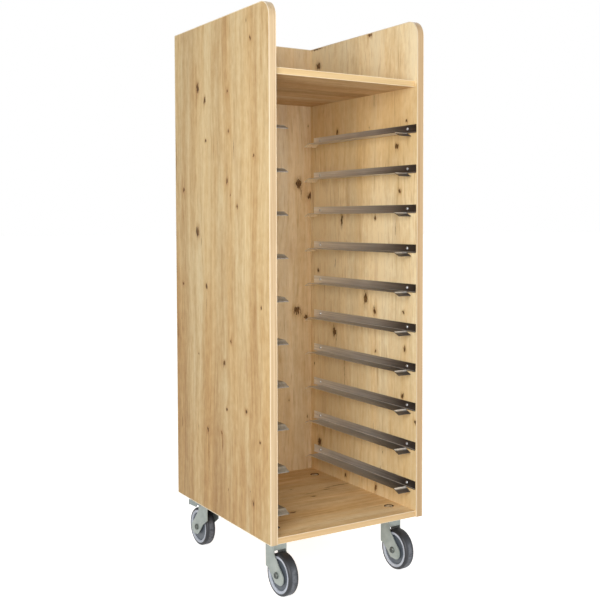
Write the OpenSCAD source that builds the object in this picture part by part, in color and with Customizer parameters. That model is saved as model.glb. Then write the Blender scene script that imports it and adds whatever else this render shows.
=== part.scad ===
// Tray clearing trolley: an open-fronted wooden cabinet with ten pairs of tray rails,
// a shelf on top and four swivel casters, two of them with a brake.
// X runs across the trolley, Y from the open front to the back, Z up from the floor.

/* [Cabinet] */
// Outside width over both side panels
cabinet_w = 450; // [430:1:500]
// Depth of the side panels from front to back
cabinet_d = 585; // [575:1:640]
// Height of the side panels
panel_h = 1310; // [1290:1:1400]
// Thickness of a side panel
side_t = 19; // [18:0.5:22]
// Thickness of the back panel
back_t = 19; // [16:0.5:22]
// Thickness of the top and the bottom shelf
shelf_t = 16; // [16:0.5:22]
// Radius of the side panels' upper front corner
corner_r = 42; // [25:1:60]
// Thickness of the edge bands
band_t = 2; // [1:0.5:3]
// Height of the top shelf's underside above the panels' lower edge
top_shelf_h = 1137; // [1110:1:1160]
// Distance of the top shelf behind the panels' front edge
top_shelf_set = 14; // [8:1:25]
// Distance of the bottom shelf behind the panels' front edge
bottom_shelf_set = 4; // [2:0.5:10]

/* [Joinery] */
// Diameter of the wooden dowels
dowel_d = 8; // [6:0.5:8]
// Length of the wooden dowels
dowel_len = 30; // [26:1:32]
// Radial clearance of a dowel in its hole
dowel_fit = 0.03; // [0.02:0.01:0.05]

// Depth of a dowel in the side panel
dowel_in_side = 11.5; // [10:0.5:13]
// Distance of the outer dowels from a shelf's front and back
shelf_dowel_inset = 40; // [36:1:46]
// Distance of the outer dowels from the back panel's ends
back_dowel_inset = 60; // [50:1:80]

/* [Rails] */
// Height of the top shelf's underside above the top rail's underside
top_rail_drop = 119.5; // [110:0.5:130]
// Height of the lowest rail's underside above the panels' lower edge
first_rail_h = 72.5; // [66:0.5:80]
// Height of a rail's upright flange
rail_h = 22; // [20:0.5:26]
// Width of a rail's tray flange
rail_w = 43; // [36:0.5:46]
// Thickness of the rail's sheet
rail_t = 1.5; // [1.2:0.1:2]
// Outer radius of the rail's bend
rail_bend_r = 3; // [2.5:0.1:4]
// Distance from the panels' front edge to the rail
rail_front_gap = 5; // [4:0.5:12]
// Distance from the rail to the back panel
rail_back_gap = 21; // [12:0.5:26]
// Distance from the rail's end to the root of its lead-in tongue
tongue_root = 39; // [36:0.5:44]
// Length of the sloping tongue along the rail
tongue_len = 22; // [18:0.5:26]
// Drop of the tongue's tip below the tray flange
tongue_drop = 9; // [6:0.5:11]
// Slit between the tongue and the upright flange
tongue_slit = 2; // [1.5:0.1:3]
// Distance from the rail's end to its screw
screw_inset = 38; // [34:0.5:42]

// Height of the screws above the rail's underside
screw_h = 12; // [11:0.5:13]

/* [Rail screws] */
// Diameter of the screw's shank
screw_d = 4; // [3.5:0.1:4]
// Diameter of the pan head
screw_head_d = 8; // [7:0.5:9]
// Height of the pan head
screw_head_h = 2.6; // [2.2:0.1:3]
// Length of the shank under the head
screw_len = 15; // [12:0.5:15]
// Radial clearance of the shank in the panel
screw_fit = 0.02; // [0.01:0.01:0.05]

/* [Casters] */
// Height of a whole caster, from the floor to the cabinet
caster_h = 145; // [140:0.5:150]
// Diameter of the wheels
wheel_d = 107; // [100:0.5:110]
// Width of the tyres
wheel_w = 28; // [25:0.5:29]
// Distance of the axle behind the swivel axis
trail = 37.5; // [34:0.5:40]
// Distance of the swivel axes from the cabinet's outer sides
caster_side_inset = 52; // [49:0.5:57]
// Distance of the front swivel axes behind the panels' front edge
front_inset = 82; // [78:0.5:100]
// Distance of the rear swivel axes before the panels' back edge
rear_inset = 97; // [94:0.5:110]
// Angle of the front casters as they stand
front_swivel = 5; // [0:1:8]
// Angle of the rear casters as they stand
rear_swivel = 184; // [178:1:188]
// Clear width inside the fork
fork_gap = 33; // [32:0.5:36]
// Thickness of the fork's sheet
fork_t = 2.5; // [2:0.1:3]
// Diameter of the axle's shaft
axle_d = 8; // [7:0.5:9]
// Radial clearance between a turning part and its pin
run_fit = 0.05; // [0.03:0.01:0.08]
// Diameter of the caster bolt's shank
bolt_d = 12; // [10:0.5:12]
// Diameter of the recess for the bolt's head
bolt_recess_d = 26; // [25:0.5:27]

/* [Hidden] */
$fn = 96;
levels = 10;
hw = cabinet_w / 2;
iw = hw - side_t;
// reach of the front wheels past the panels' front edge, which centres the whole on the origin
tyre_round = 6;
reach = trail * cos(front_swivel) + (wheel_d / 2 - tyre_round) * cos(front_swivel)
  + (wheel_w / 2 - tyre_round) * sin(front_swivel) + tyre_round - front_inset;
y0 = max(0, reach) / 2;
y_front = y0 - cabinet_d / 2;
y_back = y0 + cabinet_d / 2;
y_inner = y_back - back_t;
z0 = caster_h;
z_top = z0 + panel_h;
z_shelf = z0 + top_shelf_h;

// places along the depth, as offsets from the front edge
shelf_dowel_y = [y_front + shelf_dowel_inset, y0, y_inner - shelf_dowel_inset];
back_dowel_step = (panel_h - 2 * back_dowel_inset) / 4;
back_dowel_z = [for (i = [0 : 4]) z0 + back_dowel_inset + i * back_dowel_step];

rail_y0 = y_front + rail_front_gap;
rail_y1 = y_inner - rail_back_gap;
rail_len = rail_y1 - rail_y0;
rail_pitch = (top_shelf_h - top_rail_drop - first_rail_h) / (levels - 1);
screw_y = [rail_y0 + screw_inset, rail_y1 - screw_inset];
screw_bite = screw_len - rail_t + 1;
function rail_z(k) = z0 + first_rail_h + (levels - k) * rail_pitch;
function screw_z(k) = rail_z(k) + screw_h;

caster_x = hw - caster_side_inset;
axle_z = wheel_d / 2;
fork_w = fork_gap + 2 * fork_t;
head_h = 12;
head_r = 27;
king_r = 11;
king_flange_r = 15;
play = 0.4;
crown_t = 3;
crown_top = caster_h - head_h - play;
crown_low = crown_top - crown_t;
king_flange_z = crown_low - play;
king_low = king_flange_z - 2.6;
pivot_r = 3;
pivot = [18, caster_h - 25];
fork_back = 12;
braked_fork_back = 24;
fork_front = 26;
axle_head_r = 8.5;
axle_head_h = 3.5;

wood = [0.86, 0.76, 0.58];
wood_edge = [0.93, 0.82, 0.63];
steel = [0.62, 0.63, 0.64];
zinc = [0.70, 0.73, 0.70];
rim_grey = [0.74, 0.77, 0.80];
slate = [0.33, 0.36, 0.40];
tyre_grey = [0.26, 0.27, 0.29];

// placing helpers

// a solid made upright along Z, laid along X with its foot at x = 0
module along_x() {
  rotate([0, 90, 0]) children();
}

// an outline drawn in depth and height, given a thickness along X from x0
module side_cut(x0, thick) {
  translate([x0, 0, 0]) rotate([90, 0, 90]) linear_extrude(thick) children();
}

// puts a caster part that trails towards the front at its place and angle
module at_caster(front, side) {
  y = front ? y_front + front_inset : y_back - rear_inset;
  a = front ? front_swivel : rear_swivel;
  translate([side * caster_x, y, 0]) rotate([0, 0, a]) children();
}

// cabinet

// side outline with its rounded upper front corner, drawn in by d
module side_outline(d) {
  r = corner_r - d;
  y1 = y_front + d;
  z1 = z0 + d;
  w = cabinet_d - 2 * d;
  h = panel_h - 2 * d;
  difference() {
    translate([y1, z1]) square([w, h]);
    difference() {
      translate([y1 - 1, z1 + h - r]) square([r + 1, r + 1]);
      translate([y1 + r, z1 + h - r]) circle(r);
    }
  }
}

// one dowel hole or dowel across the inner face of a side panel
module cross_dowel(side, y, z, r, in_side, in_shelf) {
  x = side > 0 ? iw - in_shelf : -iw - in_side;
  translate([x, y, z]) along_x() cylinder(r = r, h = in_side + in_shelf);
}

module side_panel(side) {
  x = side > 0 ? iw : -hw;
  hole_r = dowel_d / 2 + dowel_fit;
  color(wood)
  difference() {
    side_cut(x, side_t) side_outline(band_t);
    for (y = shelf_dowel_y, z = [z0 + shelf_t / 2, z_shelf + shelf_t / 2])
      cross_dowel(side, y, z, hole_r, dowel_in_side + 0.5, 1);
    for (z = back_dowel_z)
      cross_dowel(side, y_inner + back_t / 2, z, hole_r, dowel_in_side + 0.5, 1);
    for (k = [1 : levels], y = screw_y)
      translate([side > 0 ? iw - 1 : -iw - screw_bite, y, screw_z(k)])
        along_x() cylinder(r = screw_d / 2 + screw_fit, h = screw_bite + 1);
  }
}

module left_side_panel() side_panel(-1);
module right_side_panel() side_panel(1);

module side_edge_band(side) {
  x = side > 0 ? iw : -hw;
  color(wood_edge)
  side_cut(x, side_t)
  difference() {
    side_outline(0);
    side_outline(band_t);
  }
}

module left_edge_band() side_edge_band(-1);
module right_edge_band() side_edge_band(1);

module back_panel() {
  hole_r = dowel_d / 2 + dowel_fit;
  color(wood)
  difference() {
    translate([-iw, y_inner, z0]) cube([2 * iw, back_t, panel_h - band_t]);
    for (s = [-1, 1], z = back_dowel_z)
      cross_dowel(s, y_inner + back_t / 2, z, hole_r, 1, dowel_len - dowel_in_side + 0.5);
  }
}

module back_edge_band() {
  color(wood_edge)
  translate([-iw, y_inner, z_top - band_t]) cube([2 * iw, back_t, band_t]);
}

// a shelf between the side panels, with its front band left off
module shelf_board(z, set) {
  hole_r = dowel_d / 2 + dowel_fit;
  yf = y_front + set + band_t;
  difference() {
    translate([-iw, yf, z]) cube([2 * iw, y_inner - yf, shelf_t]);
    for (s = [-1, 1], y = shelf_dowel_y)
      cross_dowel(s, y, z + shelf_t / 2, hole_r, 1, dowel_len - dowel_in_side + 0.5);
  }
}

module top_shelf() {
  color(wood) shelf_board(z_shelf, top_shelf_set);
}

// the bolt's recess leaves a floor under the head
recess_floor = shelf_t - 9;

module bottom_shelf() {
  color(wood)
  difference() {
    shelf_board(z0, bottom_shelf_set);
    for (f = [true, false], s = [-1, 1])
      at_caster(f, s) {
        translate([0, 0, z0 - 1]) cylinder(r = bolt_d / 2 + 0.25, h = shelf_t);
        translate([0, 0, z0 + recess_floor]) cylinder(d = bolt_recess_d, h = 12);
      }
  }
}

module shelf_band(z, set) {
  color(wood_edge)
  translate([-iw, y_front + set, z]) cube([2 * iw, band_t, shelf_t]);
}

module top_shelf_edge_band() shelf_band(z_shelf, top_shelf_set);
module bottom_shelf_edge_band() shelf_band(z0, bottom_shelf_set);

// all the dowels: three at each end of each shelf, five along each side of the back
module panel_dowels() {
  color([0.80, 0.66, 0.46])
  for (s = [-1, 1]) {
    for (y = shelf_dowel_y, z = [z0 + shelf_t / 2, z_shelf + shelf_t / 2])
      cross_dowel(s, y, z, dowel_d / 2, dowel_in_side, dowel_len - dowel_in_side);
    for (z = back_dowel_z)
      cross_dowel(s, y_inner + back_t / 2, z, dowel_d / 2, dowel_in_side,
        dowel_len - dowel_in_side);
  }
}

// rails

// section of the rail: x is the distance from the panel, y the height
module rail_section() {
  r = rail_bend_r;
  translate([0, r]) square([rail_t, rail_h - r]);
  translate([r, 0]) square([rail_w - r, rail_t]);
  intersection() {
    square([r, r]);
    translate([r, r])
      difference() {
        circle(r);
        circle(r - rail_t);
      }
  }
}

// one rail against the panel at x = 0, from y = 0, with a tongue at each end
module rail_shape() {
  hole_r = screw_d / 2 + 0.25;
  cut = tongue_root;
  slope = atan(tongue_drop / tongue_len);
  th = rail_t / cos(slope);
  difference() {
    translate([0, rail_len, 0]) rotate([90, 0, 0]) linear_extrude(rail_len) rail_section();
    // the tray flange stops short of both ends
    for (y = [-1, rail_len - cut])
      translate([rail_bend_r, y, -1]) cube([rail_w, cut + 1, rail_t + 2]);
    // short slits that free the tongues from the upright flange
    for (y = [cut - 1, rail_len - cut - 5])
      translate([rail_bend_r, y, -1]) cube([tongue_slit, 6, rail_t + 2]);
    for (y = [screw_inset, rail_len - screw_inset])
      translate([-1, y, screw_h]) along_x() cylinder(r = hole_r, h = rail_t + 2);
  }
  // sloping tongues
  tx = rail_bend_r + tongue_slit;
  side_cut(tx, rail_w - tx)
    polygon([
      [cut, rail_t], [cut, 0], [cut - tongue_len, -tongue_drop],
      [cut - tongue_len, th - tongue_drop]
    ]);
  side_cut(tx, rail_w - tx)
    polygon([
      [rail_len - cut, rail_t], [rail_len - cut, 0],
      [rail_len - cut + tongue_len, -tongue_drop],
      [rail_len - cut + tongue_len, th - tongue_drop]
    ]);
}

module rail_left(k) {
  color(steel)
  translate([-iw, rail_y0, rail_z(k)]) rail_shape();
}

module rail_right(k) {
  color(steel)
  translate([iw, rail_y0, rail_z(k)]) mirror([1, 0, 0]) rail_shape();
}

// pan head screw that stands on z = 0 with its shank below
module pan_screw() {
  hr = screw_head_d / 2;
  hh = screw_head_h;
  sr = screw_d / 2;
  difference() {
    rotate_extrude()
      polygon([
        [0, -screw_len], [sr * 0.35, -screw_len], [sr, -screw_len + 3], [sr, 0],
        [hr, 0], [hr, hh * 0.35], [hr * 0.86, hh * 0.7], [hr * 0.55, hh * 0.93], [0, hh]
      ]);
    for (a = [0, 90])
      rotate([0, 0, a]) translate([-hr * 0.5, -0.4, hh - 1.2]) cube([hr, 0.8, 2]);
  }
}

module rail_screws() {
  color([0.82, 0.83, 0.84])
  for (k = [1 : levels], y = screw_y) {
    translate([iw - rail_t, y, screw_z(k)]) rotate([0, -90, 0]) pan_screw();
    translate([-iw + rail_t, y, screw_z(k)]) rotate([0, 90, 0]) pan_screw();
  }
}

// casters

// hexagon head bolt that holds a caster under the bottom shelf
module caster_bolt() {
  floor_z = z0 + recess_floor;
  translate([0, 0, king_low + 1]) cylinder(d = bolt_d, h = floor_z - king_low);
  translate([0, 0, floor_z]) cylinder(d = 24, h = 1.6);
  intersection() {
    translate([0, 0, floor_z + 1.6]) cylinder(d = 21.9, h = 6.6, $fn = 6);
    translate([0, 0, floor_z + 1.6]) cylinder(r1 = 14.4, r2 = 9.6, h = 6.6);
  }
}

module caster_bolts() {
  color([0.80, 0.81, 0.82])
  for (f = [true, false], s = [-1, 1])
    at_caster(f, s) caster_bolt();
}

// fixed head with the hollow pin on which the fork turns
module swivel_head(front, side) {
  br = bolt_d / 2 + run_fit;
  color(zinc)
  at_caster(front, side)
  rotate_extrude()
    polygon([
      [br, caster_h], [head_r, caster_h], [head_r, caster_h - 4],
      [head_r - 2.5, caster_h - head_h + 2], [head_r - 4, caster_h - head_h],
      [king_r, caster_h - head_h], [king_r, king_flange_z],
      [king_flange_r, king_flange_z], [king_flange_r, king_low + 0.8],
      [king_flange_r - 0.8, king_low], [br, king_low]
    ]);
}

// side view of the fork: distance ahead of the swivel axis is negative y
module fork_outline(braked) {
  ax = -trail;
  back = braked ? braked_fork_back : fork_back;
  polygon([
    [back, crown_top], [back, axle_z + (braked ? 31 : 13)],
    [ax + 37, axle_z + (braked ? 14 : 10)], [ax + 7, axle_z - 20], [ax - 10.5, axle_z - 21.8],
    [ax - 27, axle_z + 7.3], [ax - 20, axle_z + 15], [ax - 8.5, axle_z + 27],
    [-fork_front, axle_z + 51], [-fork_front, crown_top]
  ]);
  translate([ax - 13, axle_z - 4]) circle(18);
}

// front view of the fork: an upturned channel with rounded bends
module fork_channel() {
  r = 5;
  ri = r - fork_t;
  w = fork_w;
  g = fork_gap;
  difference() {
    union() {
      translate([-w / 2, 0]) square([w, crown_top - r]);
      translate([-w / 2 + r, crown_top - r - 1]) square([w - 2 * r, r + 1]);
      for (s = [-1, 1])
        translate([s * (w / 2 - r), crown_top - r]) circle(r);
    }
    translate([-g / 2, -1]) square([g, crown_low - ri + 1]);
    translate([-g / 2 + ri, crown_low - ri - 1]) square([g - 2 * ri, ri + 1]);
    for (s = [-1, 1])
      translate([s * (g / 2 - ri), crown_low - ri]) circle(ri);
  }
}

module fork(front, side) {
  braked = !front;
  lip = 2.5;
  color(zinc)
  at_caster(front, side)
  difference() {
    union() {
      intersection() {
        translate([0, braked_fork_back + 1, 0]) rotate([90, 0, 0])
          linear_extrude(braked_fork_back + trail + 40) fork_channel();
        side_cut(-fork_w / 2 - 1, fork_w + 2) fork_outline(braked);
      }
      translate([0, 0, crown_low]) cylinder(r = head_r - 2, h = crown_t);
      if (!braked)
        translate([-fork_gap / 2 - 1, -fork_front, caster_h - 33])
          cube([fork_gap + 2, lip, crown_low + 0.5 - (caster_h - 33)]);
    }
    translate([0, 0, crown_low - 1]) cylinder(r = king_r + run_fit, h = crown_t + 3);
    translate([-fork_w / 2 - 1, -trail, axle_z]) along_x() cylinder(r = axle_d / 2 + 0.1, h = fork_w + 2);
    if (braked)
      translate([-fork_w / 2 - 1, -pivot[0], pivot[1]])
        along_x() cylinder(r = pivot_r + run_fit, h = fork_w + 2);
  }
}

// axle bolt with a round head outside and a hexagon nut at the other end
module axle(front, side) {
  o = fork_w / 2;
  color([0.36, 0.38, 0.37])
  at_caster(front, side)
  translate([0, -trail, axle_z])
  {
    // the round head sits on the trolley's left as the caster stands at the front
    mirror([front ? 0 : 1, 0, 0]) {
      translate([-o - axle_head_h, 0, 0]) rotate([0, 90, 0])
        rotate_extrude()
          polygon([
            [0, 1.2], [axle_head_r * 0.45, 1.2], [axle_head_r * 0.5, 0], [axle_head_r - 1.5, 0],
            [axle_head_r, 1.5], [axle_head_r, axle_head_h], [axle_d / 2, axle_head_h],
            [axle_d / 2, fork_w + axle_head_h + 8], [0, fork_w + axle_head_h + 8]
          ]);
      translate([o, 0, 0]) along_x()
        difference() {
          union() {
            cylinder(d = 17, h = 1.2);
            translate([0, 0, 1.2]) cylinder(d = 15, h = 5.4, $fn = 6);
          }
          translate([0, 0, -1]) cylinder(r = axle_d / 2 + 0.01, h = 9);
        }
    }
  }
}

ring_r = wheel_d / 2 - 7;
dish_r = ring_r - 7;
hub_r = 12;
ledge_x = 8;
rim_x = wheel_w / 2 - 0.6;

// moulded wheel body with its hub, web and outer ring
module rim(front, side) {
  br = axle_d / 2 + run_fit;
  hx = fork_gap / 2 - 0.5;
  color(rim_grey)
  at_caster(front, side)
  translate([0, -trail, axle_z]) along_x()
  rotate_extrude()
    polygon([
      [br, -hx], [hub_r, -hx], [hub_r, -4], [dish_r - 1.5, -4], [dish_r - 1.5, -ledge_x],
      [dish_r, -ledge_x], [dish_r, -rim_x + 1], [dish_r + 1, -rim_x], [ring_r, -rim_x],
      [ring_r, rim_x], [dish_r + 1, rim_x], [dish_r, rim_x - 1], [dish_r, ledge_x],
      [dish_r - 1.5, ledge_x], [dish_r - 1.5, 4], [hub_r, 4], [hub_r, hx], [br, hx]
    ]);
}

module tyre(front, side) {
  hwid = wheel_w / 2;
  ro = wheel_d / 2;
  t = tyre_round;
  color(tyre_grey)
  at_caster(front, side)
  translate([0, -trail, axle_z]) along_x()
  rotate_extrude()
    intersection() {
      translate([ring_r, -hwid]) square([ro - ring_r, wheel_w]);
      union() {
        translate([ring_r, -hwid + t]) square([ro - ring_r, wheel_w - 2 * t]);
        translate([ring_r, -hwid]) square([ro - ring_r - t, wheel_w]);
        for (s = [-1, 1])
          translate([ro - t, s * (hwid - t)]) circle(t);
      }
    }
}

// the two round covers that close the wheel's dished faces
module hub_covers(front, side) {
  color(slate)
  at_caster(front, side)
  translate([0, -trail, axle_z])
  for (s = [0, 1])
    mirror([s, 0, 0]) along_x()
    rotate_extrude()
      polygon([
        [hub_r + 0.1, ledge_x], [dish_r - 0.1, ledge_x], [dish_r - 0.1, ledge_x + 1.6],
        [dish_r - 2, ledge_x + 2], [hub_r + 4, ledge_x + 2.8], [hub_r + 0.1, ledge_x + 2.8]
      ]);
}

// pressed brake pedal over the wheel, in one piece with its pivot pin and its shoe
module brake_pedal(side) {
  zt = pivot[1] + pivot_r;
  t = 2;
  inner = fork_gap - 1.5;
  outer = fork_w - 1;
  tip = 88;
  shoe_low = wheel_d + 6;
  color([0.66, 0.70, 0.68])
  at_caster(false, side)
  union() {
    translate([-fork_w / 2 - 1, -pivot[0], pivot[1]]) along_x()
      cylinder(r = pivot_r, h = fork_w + 2);
    translate([-inner / 2, -34, zt - t]) cube([inner, 20, t]);
    translate([-outer / 2, -tip, zt - t]) cube([outer, tip - 30, t]);
    for (s = [-1, 1])
      side_cut(s > 0 ? outer / 2 - t : -outer / 2, t)
        polygon([
          [-tip, zt], [-36, zt], [-36, zt - 5], [-44, zt - 14], [-tip + 6, zt - 14],
          [-tip, zt - 16]
        ]);
    translate([-outer / 2, -tip, zt - 16]) cube([outer, t, 16]);
    translate([-10, -54, shoe_low]) cube([20, 10, zt - 1 - shoe_low]);
  }
}

left_side_panel();
right_side_panel();
back_panel();
top_shelf();
bottom_shelf();
left_edge_band();
right_edge_band();
back_edge_band();
top_shelf_edge_band();
bottom_shelf_edge_band();
panel_dowels();
rail_left(1);  // rail_left_01
rail_left(2);  // rail_left_02
rail_left(3);  // rail_left_03
rail_left(4);  // rail_left_04
rail_left(5);  // rail_left_05
rail_left(6);  // rail_left_06
rail_left(7);  // rail_left_07
rail_left(8);  // rail_left_08
rail_left(9);  // rail_left_09
rail_left(10);  // rail_left_10
rail_right(1);  // rail_right_01
rail_right(2);  // rail_right_02
rail_right(3);  // rail_right_03
rail_right(4);  // rail_right_04
rail_right(5);  // rail_right_05
rail_right(6);  // rail_right_06
rail_right(7);  // rail_right_07
rail_right(8);  // rail_right_08
rail_right(9);  // rail_right_09
rail_right(10);  // rail_right_10
rail_screws();
caster_bolts();
swivel_head(true, -1);  // swivel_head_front_left
swivel_head(true, 1);  // swivel_head_front_right
swivel_head(false, -1);  // swivel_head_rear_left
swivel_head(false, 1);  // swivel_head_rear_right
fork(true, -1);  // fork_front_left
fork(true, 1);  // fork_front_right
fork(false, -1);  // fork_rear_left
fork(false, 1);  // fork_rear_right
axle(true, -1);  // axle_front_left
axle(true, 1);  // axle_front_right
axle(false, -1);  // axle_rear_left
axle(false, 1);  // axle_rear_right
rim(true, -1);  // rim_front_left
rim(true, 1);  // rim_front_right
rim(false, -1);  // rim_rear_left
rim(false, 1);  // rim_rear_right
tyre(true, -1);  // tyre_front_left
tyre(true, 1);  // tyre_front_right
tyre(false, -1);  // tyre_rear_left
tyre(false, 1);  // tyre_rear_right
hub_covers(true, -1);  // hub_covers_front_left
hub_covers(true, 1);  // hub_covers_front_right
hub_covers(false, -1);  // hub_covers_rear_left
hub_covers(false, 1);  // hub_covers_rear_right
brake_pedal(-1);  // brake_pedal_rear_left
brake_pedal(1);  // brake_pedal_rear_right
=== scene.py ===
# Looks of the tray clearing trolley: camera, studio, and a procedural material for each piece.
import math

import bpy
from mathutils import Matrix, Vector


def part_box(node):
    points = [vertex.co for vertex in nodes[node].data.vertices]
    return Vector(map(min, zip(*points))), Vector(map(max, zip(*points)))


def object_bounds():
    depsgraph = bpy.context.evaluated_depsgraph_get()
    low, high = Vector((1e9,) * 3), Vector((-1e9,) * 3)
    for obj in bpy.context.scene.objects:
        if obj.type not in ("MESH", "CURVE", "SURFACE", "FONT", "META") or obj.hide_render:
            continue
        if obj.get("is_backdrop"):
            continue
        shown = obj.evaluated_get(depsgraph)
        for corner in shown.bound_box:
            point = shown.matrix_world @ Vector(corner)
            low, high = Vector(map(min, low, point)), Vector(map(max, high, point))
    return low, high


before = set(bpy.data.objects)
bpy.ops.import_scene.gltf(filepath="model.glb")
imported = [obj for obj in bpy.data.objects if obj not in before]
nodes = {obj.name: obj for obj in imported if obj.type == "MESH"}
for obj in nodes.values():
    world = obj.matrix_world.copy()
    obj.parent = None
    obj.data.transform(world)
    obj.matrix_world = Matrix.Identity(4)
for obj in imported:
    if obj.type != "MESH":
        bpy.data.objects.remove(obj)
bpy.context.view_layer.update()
scene = bpy.context.scene
scene.view_settings.view_transform = "Standard"

SIDES = ("left", "right")
CORNERS = ("front_left", "front_right", "rear_left", "rear_right")
RAIL_PAIRS = 10


def srgb(r, g, b):
    """A colour as it shows on a screen, 0 to 255, as Blender's linear colour."""
    def lin(c):
        c /= 255
        return c / 12.92 if c <= 0.04045 else ((c + 0.055) / 1.055) ** 2.4
    return (lin(r), lin(g), lin(b), 1.0)


# ---- camera -------------------------------------------------------------------------------

def aim(yaw, pitch, roll):
    """Rotation of a camera that looks along +Y at yaw 0, turns right with yaw and up with pitch."""
    yaw, pitch, roll = (math.radians(a) for a in (yaw, pitch, roll))
    ahead = Vector((
        math.sin(yaw) * math.cos(pitch), math.cos(yaw) * math.cos(pitch), math.sin(pitch)))
    right = ahead.cross(Vector((0, 0, 1))).normalized()
    up = right.cross(ahead)
    x = right * math.cos(roll) + up * math.sin(roll)
    y = up * math.cos(roll) - right * math.sin(roll)
    return Matrix((x, y, -ahead)).transposed()


# Fitted to points measured in the photo. shift_y is less than the fit asks, because the other
# views keep it and would crop the top.
CAMERA_PLACE = (-1.3073, -2.4102, 0.9281)
YAW, PITCH, ROLL = 34.3513, -2.7533, 0.1173

cam = bpy.data.cameras.new("camera")
cam.sensor_width = 36
cam.lens = 59.562
cam.shift_x = -0.16233
cam.shift_y = -0.05
cam.clip_start, cam.clip_end = 0.05, 200
eye = bpy.data.objects.new("camera", cam)
scene.collection.objects.link(eye)
eye.matrix_world = Matrix.Translation(CAMERA_PLACE) @ aim(YAW, PITCH, ROLL).to_4x4()
scene.camera = eye


# ---- node helpers -------------------------------------------------------------------------

class Look:
    """One material, built node by node in object coordinates (metres, the row frame)."""

    def __init__(self, name, **shader):
        self.mat = bpy.data.materials.new(name)
        self.mat.use_nodes = True
        self.tree = self.mat.node_tree
        self.tree.nodes.clear()
        out = self.node("ShaderNodeOutputMaterial")
        self.bsdf = self.node("ShaderNodeBsdfPrincipled")
        self.tree.links.new(self.bsdf.outputs[0], out.inputs[0])
        for key, value in shader.items():
            self.bsdf.inputs[key.replace("_", " ")].default_value = value
        self.place = self.node("ShaderNodeTexCoord").outputs["Object"]
        self.mat.diffuse_color = (0.6, 0.6, 0.6, 1)

    def node(self, kind, **props):
        n = self.tree.nodes.new(kind)
        for key, value in props.items():
            setattr(n, key, value)
        return n

    def put(self, socket, value):
        if isinstance(value, bpy.types.NodeSocket):
            self.tree.links.new(value, socket)
        elif value is not None:
            socket.default_value = value

    def math(self, op, a, b=None, c=None, clamp=False):
        n = self.node("ShaderNodeMath", operation=op, use_clamp=clamp)
        for i, value in enumerate((a, b, c)):
            self.put(n.inputs[i], value)
        return n.outputs[0]

    def vec(self, op, a, b=None, c=None):
        n = self.node("ShaderNodeVectorMath", operation=op)
        for i, value in enumerate((a, b, c)):
            self.put(n.inputs[i], value)
        return n.outputs["Value" if op in ("LENGTH", "DOT_PRODUCT") else "Vector"]

    def split(self, v):
        n = self.node("ShaderNodeSeparateXYZ")
        self.put(n.inputs[0], v)
        return n.outputs

    def join(self, x, y, z):
        n = self.node("ShaderNodeCombineXYZ")
        for i, value in enumerate((x, y, z)):
            self.put(n.inputs[i], value)
        return n.outputs[0]

    def noise(self, v, scale, seed=0.0, detail=2.0, rough=0.5, colour=False):
        scaled = self.vec("MULTIPLY_ADD", v, scale, (seed, seed * 1.7, seed * 0.6))
        n = self.node("ShaderNodeTexNoise")
        self.put(n.inputs["Vector"], scaled)
        n.inputs["Scale"].default_value = 1
        n.inputs["Detail"].default_value = detail
        n.inputs["Roughness"].default_value = rough
        return n.outputs[1 if colour else 0]

    def cells(self, v, scale, seed=0.0):
        scaled = self.vec("MULTIPLY_ADD", v, scale, (seed, seed * 1.3, seed * 0.4))
        n = self.node("ShaderNodeTexVoronoi")
        self.put(n.inputs["Vector"], scaled)
        n.inputs["Scale"].default_value = 1
        return n.outputs[0]

    def step(self, value, low, high, to_low=0.0, to_high=1.0):
        """Smooth step of value from low to high."""
        n = self.node("ShaderNodeMapRange", interpolation_type="SMOOTHSTEP")
        self.put(n.inputs[0], value)
        for i, number in enumerate((low, high, to_low, to_high)):
            n.inputs[i + 1].default_value = number
        return n.outputs[0]

    def ramp(self, value, stops):
        n = self.node("ShaderNodeValToRGB")
        self.put(n.inputs[0], value)
        e = n.color_ramp.elements
        while len(e) < len(stops):
            e.new(0.5)
        for i, (at, colour) in enumerate(stops):
            e[i].position = at
            e[i].color = colour
        return n.outputs[0]

    def mix(self, amount, a, b, blend="MIX"):
        n = self.node("ShaderNodeMix", data_type="RGBA", blend_type=blend)
        self.put(n.inputs[0], amount)
        self.put(n.inputs[6], a)
        self.put(n.inputs[7], b)
        return n.outputs[2]

    def add(self, *terms):
        """Sum of terms, each a socket or number, or (socket, weight, its value that adds 0)."""
        total = None
        for t in terms:
            if isinstance(t, tuple):
                socket, weight, middle = t
                t = self.math("MULTIPLY_ADD", socket, weight, -middle * weight)
            total = t if total is None else self.math("ADD", total, t)
        return total

    def finish(self, colour=None, rough=None, height=None, relief=0.0, metal=None):
        self.put(self.bsdf.inputs["Base Color"], colour)
        self.put(self.bsdf.inputs["Roughness"], rough)
        self.put(self.bsdf.inputs["Metallic"], metal)
        if height is not None:
            n = self.node("ShaderNodeBump")
            n.inputs["Strength"].default_value = 1
            n.inputs["Distance"].default_value = relief
            self.put(n.inputs["Height"], height)
            self.tree.links.new(n.outputs[0], self.bsdf.inputs["Normal"])
        return self.mat


def dress(name, mat):
    """Gives a CAD node its material."""
    piece = nodes[name]
    if not piece.material_slots:
        piece.data.materials.append(mat)
    for slot in piece.material_slots:
        slot.material = mat


# ---- wood ---------------------------------------------------------------------------------

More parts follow.
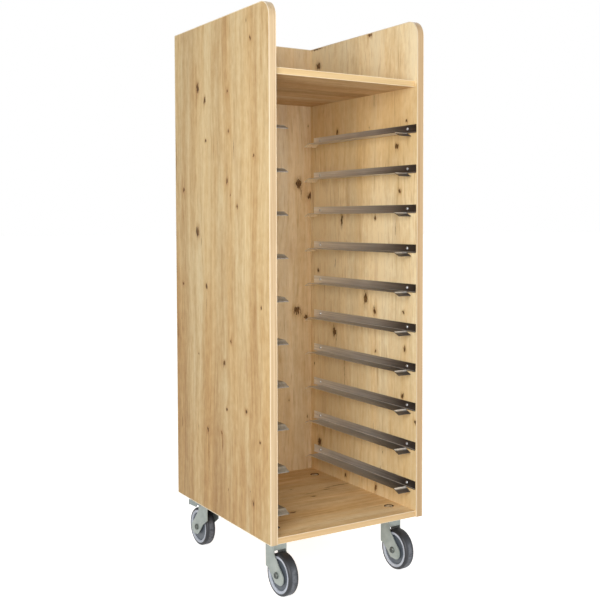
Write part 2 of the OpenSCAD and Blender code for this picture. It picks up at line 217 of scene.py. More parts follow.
# the wood's scale of tones, from dark 0 to pale 1
WOOD_STOPS = [
    (0.12, srgb(170, 128, 78)), (0.34, srgb(196, 160, 108)), (0.52, srgb(212, 183, 133)),
    (0.70, srgb(223, 199, 152)), (0.90, srgb(233, 214, 173)), (1.00, srgb(243, 229, 193))]
FLECK, PORE, CLOUD, CRACK = (
    srgb(172, 130, 80), srgb(146, 106, 60), srgb(170, 122, 76), srgb(118, 78, 40))
PIN_HALO, PIN_KNOT = srgb(160, 116, 66), srgb(92, 60, 26)
KNOT_HALO, KNOT_DARK, KNOT_PALE = srgb(158, 108, 56), srgb(62, 38, 14), srgb(122, 84, 42)
# painted shade in the recesses around the caster bolts
SINK, SINK_RADIUS = srgb(58, 40, 26), 0.014
KNOT_DEPTH, CRACK_DEPTH, CLOUD_DEPTH = 6, 8, 12     # millimetres that marks reach into a board
BIG_KNOT = 6    # half width in millimetres above which a knot gets a crack of its own


def wood(name, axes, seed, knots=(), cracks=(), clouds=(), calm=1.0, light=0.60, painted_shading=(),
         tone=(1, 1, 1), sinks=()):
    """Knotty oak. axes names the directions across the grain, along it and into the board.
    knots, cracks and clouds are (across, along, into, half width, half length) in millimetres.
    calm is the contrast of the grain, and light the board's mean tone on WOOD_STOPS, set per board
    partly as painted light: paler on the boards within the cabinet, darker on the top shelf.
    fades, painted light and shade on the board, are (change of that tone, (axis, place where it
    starts, place where it is full), ...),
    tone tints the board, and sinks are the places of round recesses in it, darkened with painted
    shade."""
    k = Look(name, Specular_IOR_Level=0.20)
    xyz = dict(zip("xyz", k.split(k.place)))
    p = k.join(*(xyz[a] for a in axes))

    # the grain wanders, and the outlines of knots are ragged
    sway = k.noise(p, (5, 1.9, 5), seed, 2.0, 0.45, colour=True)
    flow = k.vec("MULTIPLY_ADD", sway, (0.055, 0.0, 0.03), p)
    torn = k.noise(p, (300, 95, 300), seed + 3, 3.0, 0.62)
    kink = k.noise(p, (105, 46, 105), seed + 7, 2.0, 0.6, colour=True)
    q = k.vec("ADD", p, (-0.0055, -0.009, -0.0005))
    q = k.vec("MULTIPLY_ADD", kink, (0.011, 0.018, 0.001), q)
    cracks = [*cracks, *(
        (across + 0.5 * hw, along, into, 1.5, 1.8 * hl)
        for across, along, into, hw, hl in knots if hw > BIG_KNOT)]

    def nearest(spots, depth):
        """Distance to the nearest mark, where 1 is its outline."""
        least = None
        for across, along, into, hw, hl in spots:
            centre = (across / 1000, along / 1000, into / 1000)
            size = (1000 / hw, 1000 / hl, 1000 / depth)
            d = k.vec("LENGTH", k.vec("MULTIPLY", k.vec("SUBTRACT", q, centre), size))
            least = d if least is None else k.math("MINIMUM", least, d)
        return least

    near = nearest(knots, KNOT_DEPTH)
    bend = k.math("POWER", 0.62, near)
    rings = k.noise(flow, (5.2, 0.45, 5.2), seed + 1, 2.0, 0.35)
    lines = k.math("MULTIPLY_ADD", rings, 17.0, k.math("MULTIPLY", bend, 1.1))
    lines = k.math("PINGPONG", lines, 0.5)
    broad = k.noise(flow, (9, 0.75, 9), seed + 2, 2.0, 0.5)
    streak = k.noise(flow, (42, 2.0, 42), seed + 4, 3.0, 0.55)
    fleck = k.noise(flow, (120, 8.5, 120), seed + 9, 2.0, 0.55)
    fine = k.noise(flow, (360, 12, 360), seed + 5, 2.0, 0.6)
    mottle = k.noise(flow, (75, 40, 75), seed + 10, 2.0, 0.6)
    pores = k.noise(p, (1500, 30, 1500), seed + 6, 1.0)
    hue = k.noise(flow, (13, 0.9, 13), seed + 14, 3.0, 0.55)
    shade = k.add(
        (broad, 1.00 * calm, 0.5), (streak, 0.50 * calm, 0.5), (fleck, 0.26, 0.5),
        (fine, 0.26, 0.5), (mottle, 0.30, 0.5), (lines, 0.18 * calm, 0.25), (bend, -0.12, 0.0),
        light)
    # painted light and shade: the board's tone changes along an axis
    for change, *limits in painted_shading:
        amount = 1.0
        for axis, start, full in limits:
            amount = k.math("MULTIPLY", k.step(xyz[axis], start, full), amount)
        shade = k.add(shade, (amount, change, 0.0))
    colour = k.ramp(shade, WOOD_STOPS)
    cool, warm = (
        (r * tone[0], g * tone[1], b * tone[2], 1)
        for r, g, b in ((0.972, 1.004, 1.045), (1.022, 0.986, 0.92)))
    tint = k.mix(k.step(hue, 0.30, 0.70), cool, warm)
    colour = k.mix(1.0, colour, tint, "MULTIPLY")
    dash = k.step(fleck, 0.40, 0.27)
    colour = k.mix(k.math("MULTIPLY", dash, 0.35), colour, FLECK)
    pore = k.step(pores, 0.60, 0.72)
    colour = k.mix(k.math("MULTIPLY", pore, 0.30), colour, PORE)

    # brown clouds, hair cracks, knots, and a scatter of pin knots
    if clouds:
        soft = k.math("ADD", nearest(clouds, CLOUD_DEPTH), k.math("MULTIPLY_ADD", torn, 0.9, -0.45))
        soft = k.step(soft, 1.45, 0.2)
        streaky = k.math("MULTIPLY", soft, k.math("MULTIPLY", streak, 0.42), clamp=True)
        colour = k.mix(streaky, colour, CLOUD)
    pin = k.cells(q, (17, 8, 17), seed)
    pin_halo = k.step(pin, 0.10, 0.02)
    pin_core = k.step(pin, 0.036, 0.018)
    colour = k.mix(k.math("MULTIPLY", pin_halo, 0.30), colour, PIN_HALO)
    colour = k.mix(k.math("MULTIPLY", pin_core, 0.85), colour, PIN_KNOT)
    dark = pin_core
    if cracks:
        line = k.step(k.math("MULTIPLY_ADD", torn, 0.8, nearest(cracks, CRACK_DEPTH)), 1.6, 0.8)
        colour = k.mix(k.math("MULTIPLY", line, 0.60), colour, CRACK)
        dark = k.math("MAXIMUM", dark, line)
    if knots:
        rim = k.math("MULTIPLY_ADD", torn, 1.9, near)
        halo = k.step(rim, 3.0, 1.6)
        colour = k.mix(k.math("MULTIPLY", halo, 0.34), colour, KNOT_HALO)
        core = k.step(rim, 1.95, 1.55)
        heart = k.ramp(torn, [(0.38, KNOT_DARK), (0.62, KNOT_PALE)])
        colour = k.mix(k.math("MULTIPLY", core, 0.94), colour, heart)
        dark = k.math("MAXIMUM", dark, core)

    # painted shade: dark round recesses around the caster bolts
    for across, along in sinks:
        gap = k.vec("SUBTRACT", p, (across, along, 0))
        gap = k.vec("LENGTH", k.vec("MULTIPLY", gap, (1, 1, 0)))
        colour = k.mix(k.step(gap, SINK_RADIUS, SINK_RADIUS - 0.0008), colour, SINK)

    rough = k.add((fine, 0.16, 0.5), (pore, 0.12, 0.0), (dark, 0.10, 0.0), 0.56)
    height = k.add((fine, 0.5, 0.5), (pore, -0.8, 0.0), (dark, -1.2, 0.0), (streak, 0.4, 0.5))
    return k.finish(colour, rough, height, relief=0.00018)


def faces(name, axis):
    """Where a board's two faces lie along an axis, in metres."""
    return tuple(corner["xyz".index(axis)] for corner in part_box(name))


left_outer, left_inner = faces("left_side_panel", "x")
right_inner, right_outer = faces("right_side_panel", "x")
back_front, back_rear = faces("back_panel", "y")
top_under, top_upper = faces("top_shelf", "z")
bottom_under, bottom_upper = faces("bottom_shelf", "z")
PANEL_FOOT = faces("left_side_panel", "z")[0]


def marks(face, *rows, up=PANEL_FOOT):
    """Marks on the face at this place in metres, each (across, along, half width, half length)
    in millimetres, with along counted from up."""
    return [
        (across, along + up * 1000, face * 1000, half_width, half_length)
        for across, along, half_width, half_length in rows]


# the left panel's tone changes are painted shade towards the foot and painted light along the front
dress("left_side_panel", wood(
    "oak_left", "yzx", 2.0, calm=0.90, light=0.43, tone=(1.0, 1.02, 1.08),
    painted_shading=[(-0.15, ("z", 0.90, 0.20)), (0.13, ("y", -0.19, -0.26))],
    knots=marks(
        left_outer, (137, 1142, 8.2, 15.3), (89, 1106, 6.8, 9), (-187, 1229, 4.5, 5.4),
        (-53, 1113, 4.5, 4.5), (-59, 1012, 5.2, 5.4), (-204, 944, 4.2, 4.5),
        (84, 997, 4.5, 4.5), (237, 869, 6.8, 5.4), (-49, 886, 6.8, 7.2), (-109, 821, 4.8, 5.4),
        (142, 754, 12, 15.3), (246, 608, 5.2, 5.4), (84, 606, 6.8, 8.1), (-241, 573, 4.5, 4.5),
        (-68, 475, 4.8, 6.3), (141, 420, 4.5, 4.5), (-25, 413, 8.2, 8.1), (-40, 294, 5.2, 5.4),
        (-156, 306, 6.8, 5.4), (82, 221, 4.8, 5.4), (-8, 226, 5.7, 5.4), (-232, 240, 4.8, 4.5),
        (-193, 81, 4.8, 6.3)),
    cracks=marks(
        left_outer, (118, 731, 2.2, 20), (88, 563, 1.6, 34), (76, 163, 1.6, 120),
        (-91, 968, 2.2, 26), (288, 468, 3.5, 26), (289, 943, 3, 60), (-13, 198, 3.2, 26),
        (261, 213, 3.0, 22), (-49, 909, 1.4, 20)),
    clouds=marks(
        left_outer, (240, 1292, 12, 20), (-95, 955, 16, 42), (-187, 1024, 12, 36),
        (-107, 873, 10, 90), (-162, 423, 14, 30), (-236, 381, 12, 30), (-17, 193, 14, 44),
        (236, 142, 16, 34), (-163, 104, 16, 32), (-230, 144, 12, 40), (247, 873, 16, 26),
        (-206, 432, 8, 24))))

# the right panel's tone changes are painted shade on its inner face, darker low down and towards
# the top shelf and paler again above it; they leave its outer face as it is, and its pale light
# value is partly painted light within the cabinet
inside_only = ("x", right_inner + 0.004, right_inner + 0.002)
dress("right_side_panel", wood(
    "oak_right", "yzx", 11.0, calm=0.50, light=0.96, tone=(1.0, 0.935, 0.865),
    painted_shading=[
        (-0.20, ("z", 0.80, 0.20), inside_only), (-0.25, ("z", 0.95, 1.18), inside_only),
        (0.30, ("z", 1.285, 1.295), inside_only)],
    knots=marks(
        right_inner, (-58, 1303, 12, 7.2), (230, 1253, 13.5, 10.8), (240, 1306, 33, 3.6),
        (-238, 1048, 4.5, 4.5), (120, 1046, 6, 8.1), (-192, 985, 9, 9), (-205, 866, 5.2, 6.3),
        (94, 787, 6.8, 18), (-86, 793, 6, 7.2), (233, 634, 6, 8.1), (-37, 565, 9.8, 18),
        (-82, 532, 7.5, 9.9), (-224, 540, 5.2, 5.4), (137, 455, 12, 15.3), (-232, 440, 6, 8.1),
        (-87, 420, 4.8, 5.4), (-220, 313, 6.8, 7.2), (-281, 251, 4.8, 5.4),
        (227, 105, 12, 15.3), (74, 34, 5.4, 7.2), (-90, 32, 6.8, 10.8)) + marks(
        right_outer, (-170, 1203, 9, 13.5), (-142, 1168, 6, 7.2), (96, 1080, 5.2, 6.3),
        (18, 922, 10.5, 15.3), (-214, 846, 4.8, 5.4), (188, 782, 6.8, 9), (-66, 655, 5.2, 5.4),
        (120, 540, 11.2, 14.4), (142, 508, 6, 7.2), (-190, 450, 7.5, 9.9), (40, 330, 4.8, 5.4),
        (-100, 214, 9, 10.8), (204, 168, 5.2, 6.3)),
    cracks=marks(
        right_inner, (-79, 1121, 2, 26), (132, 659, 2.2, 18), (80, 337, 2, 60),
        (-77, 193, 2, 26), (-28, 553, 2, 26), (126, 438, 2, 22), (-186, 763, 2.6, 20)),
    clouds=marks(
        right_inner, (-27, 993, 12, 40), (-186, 777, 12, 42), (-3, 764, 12, 46),
        (-79, 1118, 14, 34), (80, 363, 16, 70), (-87, 503, 10, 80), (60, 873, 14, 60),
        (-90, 643, 10, 60), (200, 223, 16, 70))))

# the back panel's pale light value is partly painted light within the cabinet
dress("back_panel", wood(
    "oak_back", "xzy", 23.0, light=0.74, tone=(1.0, 0.94, 0.96),
    knots=marks(
        back_front, (163, 898, 12, 16.2), (202, 862, 9, 10.8), (156, 510, 13.5, 11.7),
        (188, 489, 7.5, 8.1), (-60, 763, 9, 10.8), (-120, 283, 7.5, 9)) + marks(
        back_rear, (-150, 1043, 9, 11.7), (-40, 843, 6, 7.2), (90, 1103, 7.5, 9),
        (130, 623, 10.5, 14.4), (-110, 503, 6, 7.2), (20, 293, 9, 11.7), (-160, 163, 6, 7.2),
        (150, 123, 7.5, 9.9), (60, 423, 5.2, 6.3)),
    cracks=marks(back_front, (172, 871, 2, 22), (170, 499, 2, 14)) + marks(
        back_rear, (124, 601, 2, 26), (-146, 1013, 2, 24), (26, 263, 2, 30)),
    clouds=marks(
        back_front, (115, 1098, 18, 46), (132, 692, 22, 40), (190, 863, 18, 26),
        (120, 193, 16, 60)) + marks(
        back_rear, (-60, 663, 16, 60), (100, 343, 14, 50), (10, 1013, 14, 50))))

# the top shelf's dark light value is partly painted shade on its underside
dress("top_shelf", wood(
    "oak_top_shelf", "yxz", 31.0, light=0.38, tone=(1.0, 0.94, 0.98),
    knots=marks(top_upper, (-120, 60, 4, 9), (90, -110, 5, 11), up=0),
    clouds=marks(top_under, (-167, -103, 16, 44), (-110, 15, 14, 60), (60, -60, 18, 70), up=0)))

bolt_places = []
for corner in CORNERS:
    lo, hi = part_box(f"swivel_head_{corner}")
    bolt_places.append(((lo[1] + hi[1]) / 2, (lo[0] + hi[0]) / 2))

dress("bottom_shelf", wood(
    "oak_bottom_shelf", "yxz", 43.0, tone=(1.02, 0.93, 0.88), sinks=bolt_places,
    knots=marks(bottom_upper, (-10, 51, 4, 8), (-115, -72, 6, 11), up=0)
    + marks(bottom_under, (60, -40, 5, 11), (-160, 90, 4, 8), up=0),
    cracks=marks(
        bottom_upper, (33, 114, 4, 16), (54, 172, 5, 38), (48, 128, 3, 14), (20, 60, 2.5, 18),
        up=0),
    clouds=marks(
        bottom_upper, (40, 140, 14, 60), (-70, 70, 16, 70), (-105, -90, 14, 40),
        (130, 20, 20, 80), up=0)))


# ---- edge bands ---------------------------------------------------------------------------

def band(name, along, seed, across, arrises, tone=(204, 181, 147)):
    """Printed edge band with its grain along one axis. It has pale arrises, rubbed and with a
    painted highlight, at these places on the axis across, in metres."""
    k = Look(name, Specular_IOR_Level=0.42)
    xyz = dict(zip("xyz", k.split(k.place)))
    stretch = {a: (2.0 if a == along else 140.0) for a in "xyz"}
    grain = k.noise(k.place, tuple(stretch[a] for a in "xyz"), seed, 3.0, 0.6)
    wide = k.noise(k.place, tuple(stretch[a] * 0.12 for a in "xyz"), seed + 2, 2.0)
    fine = k.noise(k.place, tuple(stretch[a] * 6 for a in "xyz"), seed + 4, 2.0)
    shade = k.add((grain, 0.8, 0.5), (wide, 0.9, 0.5), (fine, 0.3, 0.5), 0.5)
    r, g, b = tone
    colour = k.ramp(shade, [
        (0.15, srgb(r - 34, g - 40, b - 44)), (0.42, srgb(r - 8, g - 10, b - 12)),
        (0.60, srgb(r, g, b)), (0.90, srgb(r + 8, g + 9, b + 12))])
    worn_and_sheen = None
    # the pale lines on the arrises are wear and a painted highlight
    for at in arrises:
        gap = k.math("ABSOLUTE", k.math("SUBTRACT", xyz[across], at))
        line = k.step(gap, 0.0016, 0.0004)
        worn_and_sheen = line if worn_and_sheen is None else k.math("MAXIMUM", worn_and_sheen, line)
    wear_and_sheen = k.math("MULTIPLY", worn_and_sheen, k.math("MULTIPLY_ADD", grain, 0.8, 0.35), clamp=True)
    colour = k.mix(wear_and_sheen, colour, srgb(240, 225, 196))
    rough = k.add((fine, 0.18, 0.5), (wear_and_sheen, -0.08, 0.0), 0.44)
    height = k.add((grain, 0.6, 0.5), (fine, 0.5, 0.5))
    return k.finish(colour, rough, height, relief=0.00012)


dress("left_edge_band", band("band_left", "z", 3.0, "x", (left_outer, left_inner)))
dress("right_edge_band", band(
    "band_right", "z", 5.0, "x", (right_outer, right_inner), (188, 159, 121)))
dress("back_edge_band", band("band_back", "x", 7.0, "y", (back_front, back_rear)))
dress("top_shelf_edge_band", band(
    "band_top_shelf", "x", 9.0, "z", (top_under, top_upper), (206, 177, 130)))
dress("bottom_shelf_edge_band", band(
    "band_bottom_shelf", "x", 13.0, "z", (bottom_under, bottom_upper), (210, 180, 136)))


# ---- metals -------------------------------------------------------------------------------

RAIL_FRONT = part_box("rail_left_01")[0][1]
TONGUE_ROOT, TONGUE_TIP = RAIL_FRONT + 0.038, RAIL_FRONT + 0.028    # where the colour turns
# painted shade on the tray flanges' tops, painted highlights on the undersides and bends, and a
# painted reflection of the wood on the rear tongues
TRAY_TOP_SHADE, UNDERSIDE_HIGHLIGHT = srgb(40, 36, 32), srgb(232, 229, 222)
BEND_HIGHLIGHT, REAR_TONGUE_REFLECTION = srgb(226, 222, 214), srgb(252, 232, 196)


def brushed(name, seed, tones, root, tip):
    """Brushed sheet: lines along Y, soft smears, and a tone that changes along the rail, a painted
    reflection that is darker at the front and paler at the back.
    tones are (place along Y in metres, colour); root and tip are the front tongue's colours, a
    painted highlight."""
    k = Look(name)
    y = k.split(k.place)[1]
    nx, ny, nz = k.split(k.node("ShaderNodeNewGeometry").outputs["Normal"])
    lines = k.noise(k.place, (1400, 7, 1400), seed, 3.0, 0.6)
    broad = k.noise(k.place, (290, 4, 290), seed + 1, 2.0, 0.5)
    smear = k.noise(k.place, (26, 9, 26), seed + 2, 2.0, 0.5)
    low = tones[0][0]
    length = tones[-1][0] - low
    along = k.add((smear, 0.12, 0.5), (k.math("SUBTRACT", y, low), 1 / length, 0.0))
    colour = k.ramp(along, [((at - low) / length, tone) for at, tone in tones])
    shade = k.add((lines, 0.50, 0.5), (broad, 0.95, 0.5), (smear, 0.30, 0.5), 0.5)
    # painted shade and highlights by the way the faces turn: the tray flange's top is darker, its
    # underside and the bend beside it are pale
    tray = k.step(nz, 0.80, 0.97)
    colour = k.mix(k.math("MULTIPLY", tray, 0.34), colour, TRAY_TOP_SHADE)
    bend = k.math("MULTIPLY", k.step(nz, 0.10, 0.30), k.step(nz, 0.95, 0.80))
    bend = k.math("MULTIPLY", bend, k.step(k.math("ABSOLUTE", nx), 0.15, 0.35))
    colour = k.mix(k.math("MULTIPLY", bend, 0.55), colour, BEND_HIGHLIGHT)
    colour = k.mix(k.step(nz, -0.55, -0.90, 0.0, 0.75), colour, UNDERSIDE_HIGHLIGHT)
    # the lead-in tongues slope towards the ends; their colour is painted light: at the front a
    # highlight, bright at the root and dark at the tip, and at the back a reflection of the wood
    tilt = k.math("ABSOLUTE", ny)
    tongue = k.math("MULTIPLY", k.step(tilt, 0.12, 0.30), k.step(tilt, 0.96, 0.85))
    tongue_light = k.mix(k.step(y, TONGUE_ROOT, TONGUE_TIP), root, tip)
    tongue_light = k.mix(k.step(y, 0.0, 0.1), tongue_light, REAR_TONGUE_REFLECTION)
    colour = k.mix(k.math("MULTIPLY", tongue, 0.88), colour, tongue_light)
    grey = k.ramp(shade, [
        (at, (level, level, level, 1)) for at, level in ((0.15, 0.62), (0.55, 1), (0.9, 1.28))])
    colour = k.mix(1.0, colour, grey, "MULTIPLY")
    rough = k.add((lines, 0.20, 0.5), (smear, 0.14, 0.5), 0.34)
    # less mirror-like at the back and on the tongues, where the photo shows an even pale tone
    metal = k.step(y, 0.20, 0.27, 0.55, 0.15)
    metal = k.math("MULTIPLY", metal, k.math("MULTIPLY_ADD", tongue, -0.6, 1.0))
    height = k.add((lines, 1.0, 0.5), (broad, 0.4, 0.5))
    return k.finish(colour, rough, height, relief=0.00006, metal=metal)


def plated(name, seed, tone, metal=0.55, rough=0.42, scuffs=0.5):
    """Zinc-plated pressing: cloudy sheen, small scuffs and a trace of dust."""
    k = Look(name, Metallic=metal)
    cloud = k.noise(k.place, (34, 34, 34), seed, 3.0, 0.55)
    grit = k.noise(k.place, (520, 520, 520), seed + 1, 2.0, 0.6)
    scratch = k.noise(k.place, (90, 900, 240), seed + 2, 2.0, 0.6)
    r, g, b = tone
    shade = k.add((cloud, 1.0, 0.5), (grit, 0.35, 0.5), 0.5)
    colour = k.ramp(shade, [
        (0.18, srgb(r - 24, g - 22, b - 22)), (0.50, srgb(r, g, b)),
        (0.84, srgb(r + 16, g + 15, b + 15))])
    scuffed = k.math("MULTIPLY", k.step(scratch, 0.63, 0.74), scuffs)
    colour = k.mix(scuffed, colour, srgb(r + 34, g + 32, b + 32))
    level = k.add((cloud, 0.22, 0.5), (grit, 0.12, 0.5), (scuffed, -0.10, 0.0), rough)
    height = k.add((grit, 0.6, 0.5), (scuffed, -0.6, 0.0))
    return k.finish(colour, level, height, relief=0.00010)


# the tones along the rails are a painted reflection; towards the front the right rails are darker
# than the left ones
rear_tones = [
    (-0.12, srgb(156, 149, 141)), (0.08, srgb(208, 203, 196)), (0.215, srgb(232, 231, 228)),
    (0.250, srgb(252, 248, 238))]
rail_looks = (
    brushed("rail_steel_left", 1.0, [
        (-0.290, srgb(122, 115, 106)), (-0.235, srgb(144, 137, 127)), *rear_tones],
        srgb(194, 185, 169), srgb(156, 147, 132)),
    brushed("rail_steel_right", 5.0, [
        (-0.290, srgb(52, 45, 40)), (-0.235, srgb(88, 80, 74)), *rear_tones],
        srgb(240, 237, 231), srgb(74, 67, 61)))
for side, look in zip(SIDES, rail_looks):
    for i in range(1, RAIL_PAIRS + 1):
        dress(f"rail_{side}_{i:02d}", look)

dress("rail_screws", plated("screw_steel", 4.0, (204, 205, 206), 0.9, 0.34, 0.2))
dress("caster_bolts", plated("bolt_steel", 6.0, (206, 208, 210), 0.9, 0.28, 0.4))

head_look = plated("head_zinc", 12.0, (136, 144, 139), 0.6, 0.40)
pedal_look = plated("pedal_zinc", 15.0, (142, 150, 146), 0.5, 0.44, 0.8)
axle_look = plated("axle_steel", 18.0, (88, 93, 89), 0.7, 0.38, 0.3)


# ---- wheels -------------------------------------------------------------------------------

AXIS_TURN = {"front": 5, "rear": 4}     # degrees from +X to a wheel's axis at rest
FORK_INSIDE = 0.0172        # from the wheel's middle to just past the fork's inner faces
FORK_SHADED = srgb(74, 78, 76)
# the tyre's dust with a painted sheen, and its painted shade at the top and on the shoulders
RUBBER_DUST_AND_SHEEN, RUBBER_SHADED, RUBBER_SHOULDER_SHADE = (
    srgb(124, 127, 134), srgb(18, 19, 21), srgb(26, 27, 30))
RIM_TONE, RIM_DIRT = (184, 189, 199), srgb(120, 123, 128)
COVER_TONE, COVER_DIRT = (86, 93, 101), srgb(64, 68, 73)
# the fine turned rings, in radians per metre of radius
TYRE_RINGS, RIM_RINGS, COVER_RINGS = 7000, 5200, 4200


def wheel_axis(corner):
    """Unit vector along a wheel's axle."""
    turn = math.radians(AXIS_TURN[corner.split("_")[0]])
    return Vector((math.cos(turn), math.sin(turn), 0))


def wheel_space(k, corner):
    """Distance from the wheel's axis, distance along it, and the offset from its centre."""
    lo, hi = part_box(f"rim_{corner}")
    centre = (Vector(lo) + Vector(hi)) / 2
    axis = wheel_axis(corner)
    off = k.vec("SUBTRACT", k.place, tuple(centre))
    along = k.vec("DOT_PRODUCT", off, axis)
    flat = k.vec("SUBTRACT", off, k.vec("MULTIPLY", k.join(along, along, along), tuple(axis)))
    return k.vec("LENGTH", flat), along, off


def fork_zinc(corner, seed):
    """The casters' zinc plating, duller on the faces towards the wheel, which are darkened with
    painted shade.
    """
    k = Look(f"fork_zinc_{corner}")
    _, along, off = wheel_space(k, corner)
    cloud = k.noise(off, (34, 34, 34), seed, 3.0, 0.55)
    grit = k.noise(off, (520, 520, 520), seed + 1, 2.0, 0.6)
    shade = k.add((cloud, 1.0, 0.5), (grit, 0.35, 0.5), 0.5)
    colour = k.ramp(shade, [
        (0.18, srgb(130, 139, 134)), (0.50, srgb(154, 162, 157)), (0.84, srgb(172, 179, 174))])
    # painted shade on the faces towards the wheel
    normal = k.node("ShaderNodeNewGeometry").outputs["Normal"]
    facing = k.math("ABSOLUTE", k.vec("DOT_PRODUCT", normal, wheel_axis(corner)))
    near = k.step(k.math("ABSOLUTE", along), FORK_INSIDE, FORK_INSIDE - 0.0006)
    inside = k.math("MULTIPLY", k.step(facing, 0.60, 0.85), near)
    colour = k.mix(k.math("MULTIPLY", inside, 0.85), colour, FORK_SHADED)
    level = k.add((cloud, 0.22, 0.5), (grit, 0.12, 0.5), (inside, 0.2, 0.0), 0.42)
    metal = k.math("MULTIPLY_ADD", inside, -0.45, 0.55)
    return k.finish(colour, level, grit, relief=0.00010, metal=metal)


def tyre(corner, seed):
    """Grey rubber: fine turned rings on the side walls, a tread with small nicks and a dusty middle
    that has a painted sheen, and painted shade on its top and shoulders.
    """
    k = Look(f"tyre_rubber_{corner}", Specular_IOR_Level=0.45)
    radius, along, off = wheel_space(k, corner)
    lo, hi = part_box(f"tyre_{corner}")
    crown = (hi[2] - lo[2]) / 2
    mottled = k.noise(off, (110, 110, 110), seed, 3.0, 0.6)
    grit = k.noise(off, (900, 900, 900), seed + 1, 2.0, 0.6)
    aside, up = k.math("ABSOLUTE", along), k.split(off)[2]
    # the tread's middle is rubbed and dusty and has a painted sheen, except high up under the
    # cabinet
    tread = k.math("MULTIPLY", k.step(radius, crown - 0.0025, crown - 0.0004), k.step(
        aside, 0.0085, 0.0035))
    worn_and_sheen = k.math("MULTIPLY", tread, k.step(up, 0.040, 0.008))
    # the dust on the tread's middle also carries a painted sheen
    dust = k.math("MULTIPLY", worn_and_sheen, k.step(mottled, 0.20, 0.70))
    shade = k.add((mottled, 0.35, 0.5), (grit, 0.3, 0.5), 0.5)
    colour = k.ramp(shade, [
        (0.15, srgb(37, 38, 42)), (0.5, srgb(45, 47, 52)), (0.85, srgb(54, 56, 61))])
    # painted shade on the tyre's top, under the fork crown and the cabinet
    shaded = k.step(up, 0.018, 0.046)
    colour = k.mix(k.math("MULTIPLY", shaded, 0.60), colour, RUBBER_SHADED)
    colour = k.mix(k.math("MULTIPLY", dust, 0.68), colour, RUBBER_DUST_AND_SHEEN)
    # painted shade on the tread's shoulders
    shoulder = k.math("MULTIPLY", k.step(radius, crown - 0.0065, crown - 0.0030), k.step(
        aside, 0.0090, 0.0125))
    colour = k.mix(k.math("MULTIPLY", shoulder, 0.5), colour, RUBBER_SHOULDER_SHADE)
    rings = k.math("SINE", k.math("MULTIPLY", radius, TYRE_RINGS))
    walls = k.math("MULTIPLY", rings, k.step(radius, crown - 0.0015, crown - 0.0030))
    nicks = k.step(grit, 0.66, 0.74)
    rough = k.add((grit, 0.18, 0.5), (dust, 0.16, 0.0), 0.50)
    height = k.add((walls, 0.25, 0.0), (grit, 0.7, 0.5), (nicks, -0.5, 0.0))
    return k.finish(colour, rough, height, relief=0.00012)


def moulded(name, corner, seed, tone, dirt, rings):
    """Moulded plastic: slight flow clouds, turned rings, fine grain, dirt towards the hub."""
    k = Look(name, Specular_IOR_Level=0.45)
    radius, _, off = wheel_space(k, corner)
    cloud = k.noise(off, (45, 45, 45), seed, 2.0, 0.5)
    grain = k.noise(off, (1300, 1300, 1300), seed + 1, 1.0)
    r, g, b = tone
    shade = k.add((cloud, 0.9, 0.5), (grain, 0.25, 0.5), 0.5)
    colour = k.ramp(shade, [
        (0.2, srgb(r - 13, g - 13, b - 12)), (0.5, srgb(r, g, b)),
        (0.8, srgb(r + 9, g + 9, b + 9))])
    near_hub = k.step(radius, 0.034, 0.012)
    grime = k.math("MULTIPLY", near_hub, k.step(cloud, 0.30, 0.70))
    colour = k.mix(k.math("MULTIPLY", grime, 0.5), colour, dirt)
    turned = k.math("SINE", k.math("MULTIPLY", radius, rings))
    rough = k.add((grain, 0.16, 0.5), (grime, 0.14, 0.0), 0.42)
    height = k.add((turned, 0.12, 0.0), (grain, 0.6, 0.5))
    return k.finish(colour, rough, height, relief=0.00008)


for n, corner in enumerate(CORNERS):
    dress(f"swivel_head_{corner}", head_look)
    dress(f"fork_{corner}", fork_zinc(corner, 8.0 + n))
    dress(f"axle_{corner}", axle_look)
    dress(f"tyre_{corner}", tyre(corner, 20.0 + n))
    dress(f"rim_{corner}", moulded(
        f"rim_plastic_{corner}", corner, 30.0 + n, RIM_TONE, RIM_DIRT, RIM_RINGS))
    dress(f"hub_covers_{corner}", moulded(
        f"cover_plastic_{corner}", corner, 40.0 + n, COVER_TONE, COVER_DIRT, COVER_RINGS))
for corner in CORNERS[2:]:
    dress(f"brake_pedal_{corner}", pedal_look)

dowel = Look("dowel_wood", Specular_IOR_Level=0.3)
dowel_grain = dowel.noise(dowel.place, (12, 420, 420), 3.0, 3.0, 0.6)
dress("panel_dowels", dowel.finish(
    dowel.ramp(dowel_grain, [(0.3, srgb(196, 158, 112)), (0.7, srgb(222, 190, 146))]),
    dowel.add((dowel_grain, 0.2, 0.5), 0.6), dowel_grain, relief=0.0002))


# ---- studio -------------------------------------------------------------------------------

WHITE = (1, 1, 1, 1)
WORLD_LIGHT = 0.26
FLOOR_GREY = 0.82
FLOOR_LIFT = 0.76       # added where the floor itself is seen, so that it renders near white
FLOOR_HALF = 60


def new_nodes(block, *kinds):
    """The node tree of a new world or material, emptied, and a node of each kind in it."""
    block.use_nodes = True
    tree = block.node_tree
    tree.nodes.clear()
    return tree, *(tree.nodes.new("ShaderNode" + kind) for kind in kinds)


def seen(tree):
    """1 for rays that look at the background itself, in the picture or in a shiny surface."""
    rays = tree.nodes.new("ShaderNodeLightPath").outputs
    total = rays["Is Camera Ray"]
    for name in ("Is Glossy Ray", "Is Transmission Ray"):
        n = tree.nodes.new("ShaderNodeMath")
        n.operation = "MAXIMUM"
        tree.links.new(total, n.inputs[0])
        tree.links.new(rays[name], n.inputs[1])
        total = n.outputs[0]
    return total


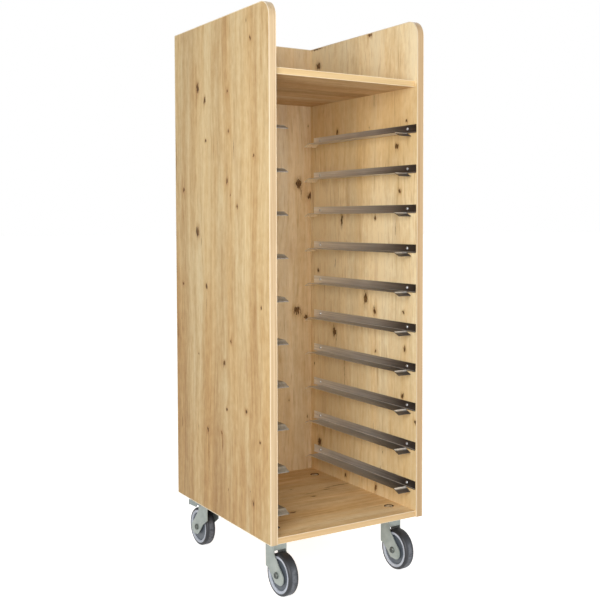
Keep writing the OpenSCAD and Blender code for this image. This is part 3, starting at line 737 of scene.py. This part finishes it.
world = bpy.data.worlds.new("studio")
scene.world = world
tree, out, lit, looked_at, mix = new_nodes(
    world, "OutputWorld", "Background", "Background", "MixShader")
for background, strength in ((lit, WORLD_LIGHT), (looked_at, 1.0)):
    background.inputs[0].default_value = WHITE
    background.inputs[1].default_value = strength
tree.links.new(seen(tree), mix.inputs[0])
tree.links.new(lit.outputs[0], mix.inputs[1])
tree.links.new(looked_at.outputs[0], mix.inputs[2])
tree.links.new(mix.outputs[0], out.inputs[0])


def lamp(name, kind, power, towards, place=(0, 0, 3), **settings):
    """A soft light that shines along towards."""
    light = bpy.data.lights.new(name, kind)
    light.energy = power
    for key, value in settings.items():
        setattr(light, key, value)
    obj = bpy.data.objects.new(name, light)
    scene.collection.objects.link(obj)
    obj.location = place
    obj.rotation_mode = "QUATERNION"
    obj.rotation_quaternion = Vector(towards).normalized().to_track_quat("-Z", "Y")
    obj.visible_camera = False


# a large softbox at the front left, a fill light in front, and a weak wide light from behind
lamp("softbox", "AREA", 70, (1.70, 2.05, -0.4), (-1.70, -2.05, 1.25),
     shape="RECTANGLE", size=1.7, size_y=1.6)
lamp("fill", "AREA", 15, (0, 1, -0.02), (0.30, -2.7, 1.0),
     shape="RECTANGLE", size=0.9, size_y=1.2)
lamp("rear", "SUN", 1.0, (-0.45, -0.75, -0.5), angle=math.radians(70))

floor_mesh = bpy.data.meshes.new("floor")
floor_mesh.from_pydata(
    [(x * FLOOR_HALF, y * FLOOR_HALF, 0) for x, y in ((-1, -1), (1, -1), (1, 1), (-1, 1))],
    [], [(0, 1, 2, 3)])
floor = bpy.data.objects.new("floor", floor_mesh)
scene.collection.objects.link(floor)
floor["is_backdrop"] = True
pale = bpy.data.materials.new("floor")
tree, out, diffuse, lift, level, both = new_nodes(
    pale, "OutputMaterial", "BsdfDiffuse", "Emission", "Math", "AddShader")
diffuse.inputs[0].default_value = (FLOOR_GREY, FLOOR_GREY, FLOOR_GREY, 1)
lift.inputs[0].default_value = WHITE
level.operation = "MULTIPLY"
level.inputs[1].default_value = FLOOR_LIFT
tree.links.new(seen(tree), level.inputs[0])
tree.links.new(level.outputs[0], lift.inputs[1])
tree.links.new(diffuse.outputs[0], both.inputs[0])
tree.links.new(lift.outputs[0], both.inputs[1])
tree.links.new(both.outputs[0], out.inputs[0])
floor_mesh.materials.append(pale)

lo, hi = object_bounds()
